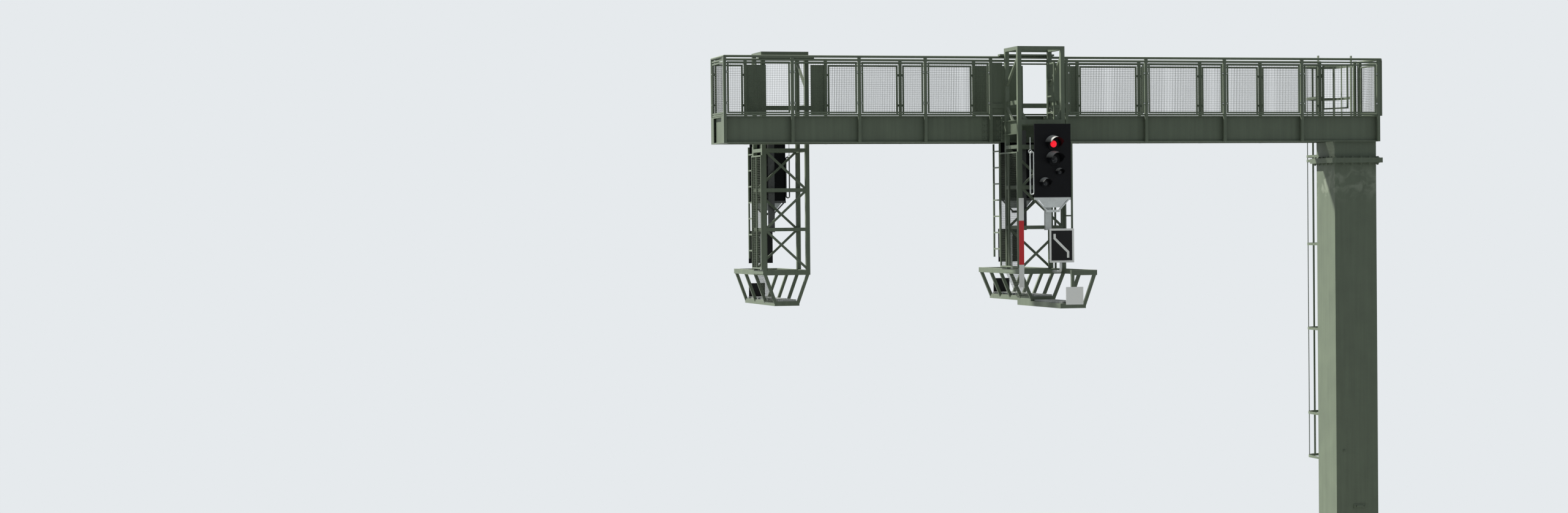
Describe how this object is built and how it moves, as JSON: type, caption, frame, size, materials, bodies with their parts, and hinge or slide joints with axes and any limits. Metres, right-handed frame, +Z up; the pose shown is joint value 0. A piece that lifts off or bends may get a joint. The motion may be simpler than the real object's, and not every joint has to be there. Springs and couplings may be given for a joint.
{
  "type": "railway signal gantry",
  "caption": "Cantilever signal gantry: a box column carries a mesh-sided walkway beam with hanging access cages, baskets and black signal screens.",
  "frame": {"origin": "centre of the underside of the column's base plate", "axes": "+X along the beam towards the column's end, +Y to the rear, +Z up"},
  "size_m": [12.079, 5.638, 9.85],
  "materials": {
    "green_paint": "satin",
    "galvanised": "dull",
    "grating": "dull",
    "black_enamel": "matt",
    "white_enamel": "satin",
    "sign_black": "satin"
  },
  "bodies": {
    "gantry": {"base_plate": "green_paint", "column_shaft": "green_paint", "shaft_flange": "green_paint", "column_head": "green_paint", "front_girder": "green_paint", "rear_girder": "green_paint", "tip_girder": "green_paint", "end_girder": "green_paint", "cross_beams": "green_paint", "walkway_deck": "grating", "front_railing": "green_paint", "rear_railing": "green_paint", "tip_railing": "green_paint", "end_railing": "green_paint", "front_mesh_panels": "green_paint", "rear_mesh_panels": "green_paint", "end_mesh_panels": "green_paint", "front_cover_panels": "green_paint", "rear_cover_panels": "green_paint", "column_ladder": "green_paint", "ladder_rungs": "green_paint", "ladder_brackets": "green_paint", "ladder_hoops": "green_paint", "right_cage_frame": "green_paint", "right_cage_brackets": "green_paint", "right_cage_mesh": "green_paint", "right_cage_ladders": "green_paint", "right_basket": "green_paint", "right_basket_front": "green_paint", "right_basket_floor": "grating", "left_cage_frame": "green_paint", "left_cage_brackets": "green_paint", "left_cage_mesh": "green_paint", "left_cage_ladders": "green_paint", "left_basket": "green_paint", "left_basket_floor": "grating", "front_signal": "black_enamel", "rear_signal": "black_enamel", "left_signal": "black_enamel", "signal_supports": "galvanised", "indicator_signs": "sign_black", "indicator_pipes": "galvanised", "mast_plate": "white_enamel", "number_plates": "white_enamel"},
    "gate": {"ladder_gate": "green_paint"}
  },
  "joints": [
    {"name": "gate_hinge", "type": "hinge", "parent": "gantry", "child": "gate", "pos_m": [-0.24, 0.475, 9.25], "axis": [0, 0, -1], "range_deg": [-65, 25]}
  ]
}
